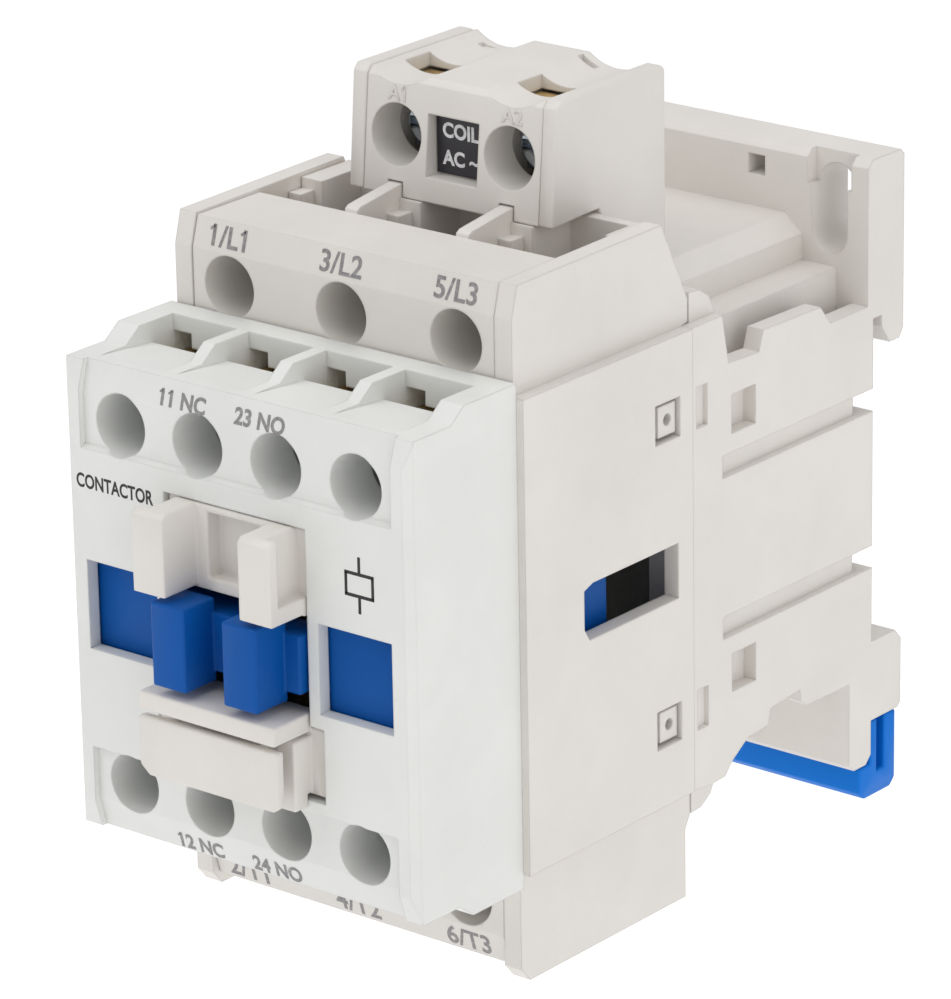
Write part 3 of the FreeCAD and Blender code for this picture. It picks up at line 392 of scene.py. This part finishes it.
# ---------------------------------------------------------------- coil terminal block
# The block on the deck takes the two coil terminals. It is a centre moulding closed by a
# cheek on each side, with raised terminal letters and a small printed film label.
paint(warm_plastic, "coil_terminal_block")
for side in ("left", "right"):
    rounded(f"coil_cheek_{side}", f"coil_cheek_moulding_{side}", 0.25, "housing",
            warm_plastic)
for words, across in (("A1", -7.0), ("A2", 7.3)):
    raised = letters(f"raised_{words}", words, 1.6, (across, -39.35, 45.25), 4.0, 0.16, bold=0.03)
    dress(raised, "housing", warm_plastic)

black_film = moulded_plastic("black_label_film", (0.016, 0.014, 0.02), 0.34, grain=0.4)
paint(black_film, "rating_label")
white_ink = print_ink("white_print", (0.80, 0.80, 0.82), (0.55, 0.55, 0.58))
label_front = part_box("rating_label")[0].y / MM
for words, high, name in (("COIL", 42.2, "coil"), ("AC ~", 39.4, "ac")):
    line = letters(f"label_{name}", words, 1.5, (0, label_front, high), 0, PRINT_THICK, width=0.95)
    dress(line, "housing", white_ink)


# ---------------------------------------------------------------- rail clip
# The clip is a brighter blue polyamide slider in the foot of the base. Its bar is pulled
# down to free the rail.
CLIP_BLUE = (0.002, 0.17, 0.66)
clip_plastic = moulded_plastic("bright_blue_polyamide", CLIP_BLUE, 0.38, grain=1.2)
clip_plastic.node_tree.nodes["Principled BSDF"].inputs["Specular IOR Level"].default_value = 0.15
rounded("rail_clip", "clip_slider", 0.25, "clip", clip_plastic)


# ---------------------------------------------------------------- screws and clamp plates
# Terminal screws are cold-headed steel, zinc plated and blue passivated. The clamp plates
# under their heads are pressed from sheet and plated in the same bath.
def plated_metal(name, colour, roughness, streak=900):
    """Plated or pressed metal with fine drawing marks and patchy passivation."""
    material = bpy.data.materials.new(name)
    material.use_nodes = True
    nodes = material.node_tree.nodes
    links = material.node_tree.links
    shader = nodes["Principled BSDF"]
    shader.inputs["Metallic"].default_value = 1
    place = nodes.new("ShaderNodeTexCoord")
    patch = nodes.new("ShaderNodeTexNoise")
    patch.inputs["Scale"].default_value = 500
    patch.inputs["Detail"].default_value = 5
    links.new(place.outputs["Object"], patch.inputs["Vector"])
    shade = nodes.new("ShaderNodeValToRGB")
    shade.color_ramp.elements[0].position = 0.3
    shade.color_ramp.elements[0].color = (*[0.78 * part for part in colour], 1)
    shade.color_ramp.elements[1].position = 0.7
    shade.color_ramp.elements[1].color = (*[min(1, 1.1 * part) for part in colour], 1)
    links.new(patch.outputs["Fac"], shade.inputs["Fac"])
    links.new(shade.outputs["Color"], shader.inputs["Base Color"])
    gloss = nodes.new("ShaderNodeMapRange")
    gloss.inputs["To Min"].default_value = roughness - 0.08
    gloss.inputs["To Max"].default_value = roughness + 0.12
    links.new(patch.outputs["Fac"], gloss.inputs["Value"])
    links.new(gloss.outputs["Result"], shader.inputs["Roughness"])
    marks = nodes.new("ShaderNodeTexNoise")
    marks.inputs["Scale"].default_value = streak
    marks.inputs["Detail"].default_value = 6
    links.new(place.outputs["Object"], marks.inputs["Vector"])
    skin = nodes.new("ShaderNodeBump")
    skin.inputs["Strength"].default_value = 0.4
    skin.inputs["Distance"].default_value = 0.00002
    links.new(marks.outputs["Fac"], skin.inputs["Height"])
    links.new(skin.outputs["Normal"], shader.inputs["Normal"])
    return material


zinc = plated_metal("blue_zinc", (0.60, 0.66, 0.72), 0.26)
for group in ("main_screws_upper", "main_screws_lower", "aux_screws_upper", "aux_screws_lower",
              "coil_screws"):
    rounded(group, f"{group}_turned", 0.08, "housing", zinc)
paint(zinc, "main_clamps_upper", "main_clamps_lower", "aux_clamps_upper", "aux_clamps_lower",
      "coil_clamps", "core_pin")


# ---------------------------------------------------------------- terminal strips
# Pressed brass strips lead from the terminals to the contacts. The coil's two leads end in
# the same brass under the coil screws.
brass = plated_metal("pressed_brass", (0.76, 0.56, 0.27), 0.33)
paint(brass, "line_strips_upper", "load_strips_lower", "aux_strips_upper", "aux_strips_lower",
      "aux_bridge_open", "aux_bridge_closed", "coil_leads")


# ---------------------------------------------------------------- contacts
# The bridges are pressed from copper alloy, and the tips brazed on them and on the strips
# are a silver alloy.
copper = plated_metal("bridge_copper_alloy", (0.80, 0.44, 0.30), 0.32)
paint(copper, "contact_bridges", "shading_rings")
silver = plated_metal("silver_alloy", (0.86, 0.85, 0.82), 0.3)
paint(silver, "fixed_contact_tips", "bridge_contact_tips")


# ---------------------------------------------------------------- magnet
# Both cores are riveted stacks of silicon-steel sheet, half a millimetre thick, so their
# sides show fine lines across the stack.
def banded(name, colour, metallic, roughness, pitch, direction, depth):
    """A stack of sheets or a winding: fine bands at a pitch, with dark joints between them."""
    material = bpy.data.materials.new(name)
    material.use_nodes = True
    nodes = material.node_tree.nodes
    links = material.node_tree.links
    shader = nodes["Principled BSDF"]
    shader.inputs["Metallic"].default_value = metallic
    shader.inputs["Roughness"].default_value = roughness
    place = nodes.new("ShaderNodeTexCoord")
    bands = nodes.new("ShaderNodeTexWave")
    bands.bands_direction = direction
    bands.inputs["Scale"].default_value = math.tau / (20 * pitch * MM)
    bands.inputs["Distortion"].default_value = 0.3
    links.new(place.outputs["Object"], bands.inputs["Vector"])
    shade = nodes.new("ShaderNodeValToRGB")
    shade.color_ramp.elements[0].color = (*[0.45 * part for part in colour], 1)
    shade.color_ramp.elements[1].position = 0.4
    shade.color_ramp.elements[1].color = (*colour, 1)
    links.new(bands.outputs["Fac"], shade.inputs["Fac"])
    links.new(shade.outputs["Color"], shader.inputs["Base Color"])
    skin = nodes.new("ShaderNodeBump")
    skin.inputs["Strength"].default_value = 0.5
    skin.inputs["Distance"].default_value = depth * MM
    links.new(bands.outputs["Fac"], skin.inputs["Height"])
    links.new(skin.outputs["Normal"], shader.inputs["Normal"])
    return material


laminated_steel = banded("laminated_steel", (0.36, 0.37, 0.39), 1, 0.38, 0.5, "X", 0.03)
paint(laminated_steel, "moving_core", "fixed_core")
rubber = moulded_plastic("buffer_rubber_black", (0.02, 0.02, 0.02), 0.7, grain=3)
paint(rubber, "core_buffer")


# ---------------------------------------------------------------- coil
# The coil is enamelled copper wire, layer-wound on a nylon bobbin.
enamelled_wire = banded("enamelled_wire", (0.52, 0.19, 0.07), 0.6, 0.3, 0.28, "Y", 0.08)
paint(enamelled_wire, "coil_winding")
nylon = moulded_plastic("natural_nylon", (0.78, 0.77, 0.70), 0.4)
rounded("coil_bobbin", "bobbin_moulding", 0.2, "housing", nylon)


# ---------------------------------------------------------------- springs
# Every spring is cold-coiled from drawn spring steel. The return springs shorten towards
# the bobbin when the carrier goes in, and the clip's spring shortens towards its peg. Here
# both keep their CAD shape and stay with the housing.
spring_wire = plated_metal("drawn_spring_wire", (0.55, 0.56, 0.57), 0.3, streak=2000)
paint(spring_wire, "contact_springs", "aux_springs")


def squeezed(node):
    """A compression spring in its CAD shape, copied as a piece of the housing and given the spring wire.
    """
    piece = bpy.data.objects.new(f"{node}_wound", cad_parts[node].data.copy())
    scene.collection.objects.link(piece)
    dress(piece, "housing", spring_wire)
    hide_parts(node)
    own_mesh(piece)


squeezed("return_springs")
squeezed("rail_clip_spring")


# ---------------------------------------------------------------- floor, light and camera
# The device hangs over a plain pale floor in soft studio light, high enough for its shadow
# to fall outside the view. The floor glows faintly, so that it comes out white.
FLOOR_DROP = 120
FLOOR_HALF_WIDTH = 6000
floor_shape = bmesh.new()
bmesh.ops.create_grid(floor_shape, x_segments=1, y_segments=1, size=FLOOR_HALF_WIDTH * MM)
bmesh.ops.translate(floor_shape, verts=floor_shape.verts, vec=(0, 0, cad_box[0].z - FLOOR_DROP * MM))
floor_mesh = bpy.data.meshes.new("floor")
floor_shape.to_mesh(floor_mesh)
floor_shape.free()
floor = bpy.data.objects.new("floor", floor_mesh)
scene.collection.objects.link(floor)
floor_paint = bpy.data.materials.new("white_floor")
floor_paint.use_nodes = True
floor_surface = floor_paint.node_tree.nodes["Principled BSDF"]
floor_surface.inputs["Base Color"].default_value = (0.96, 0.96, 0.96, 1)
floor_surface.inputs["Roughness"].default_value = 0.9
floor_surface.inputs["Emission Color"].default_value = (1, 1, 1, 1)
floor_surface.inputs["Emission Strength"].default_value = 0.22
floor_mesh.materials.append(floor_paint)


def softbox(name, spot, size, power, colour=(1, 1, 1)):
    """A square lamp that looks at the middle of the device."""
    lamp = bpy.data.lights.new(name, "AREA")
    lamp.size = size
    lamp.energy = power
    lamp.color = colour
    holder = bpy.data.objects.new(name, lamp)
    holder.location = spot
    middle = Vector((0, -0.035, 0))
    holder.rotation_euler = (middle - Vector(spot)).to_track_quat("-Z", "Y").to_euler()
    scene.collection.objects.link(holder)


softbox("key_light", (-0.55, -0.9, 1.1), 0.9, 4.3)
softbox("fill_light", (1.2, -0.35, 0.55), 1.0, 3.1, (1, 0.985, 0.96))
softbox("top_light", (0.1, 0.1, 1.6), 1.6, 9.0)
sky = bpy.data.worlds.new("studio")
sky.use_nodes = True
sky.node_tree.nodes["Background"].inputs["Color"].default_value = (1, 1, 1, 1)
sky.node_tree.nodes["Background"].inputs["Strength"].default_value = 0.56
scene.world = sky
scene.view_settings.view_transform = "Standard"
scene.view_settings.look = "None"

CAMERA_SPOT = Vector((347.769, -462.979, 201.936)) * MM
CAMERA_TURN = math.radians(39.24)
CAMERA_RISE = math.radians(19.82)
CAMERA_ROLL = math.radians(-1.05)
LENS = 210.342
SENSOR = 36
backward = Vector((math.sin(CAMERA_TURN) * math.cos(CAMERA_RISE),
                   -math.cos(CAMERA_TURN) * math.cos(CAMERA_RISE), math.sin(CAMERA_RISE)))
level = Vector((math.cos(CAMERA_TURN), math.sin(CAMERA_TURN), 0))
upward = backward.cross(level)
to_right = math.cos(CAMERA_ROLL) * level + math.sin(CAMERA_ROLL) * upward
to_top = math.cos(CAMERA_ROLL) * upward - math.sin(CAMERA_ROLL) * level
camera_data = bpy.data.cameras.new("camera")
camera_data.sensor_width = SENSOR
camera_data.lens = LENS
camera_data.clip_start = 0.01
camera = bpy.data.objects.new("camera", camera_data)
turn = Matrix((to_right, to_top, backward)).transposed()
camera.matrix_world = Matrix.Translation(CAMERA_SPOT) @ turn.to_4x4()
scene.collection.objects.link(camera)
scene.camera = camera
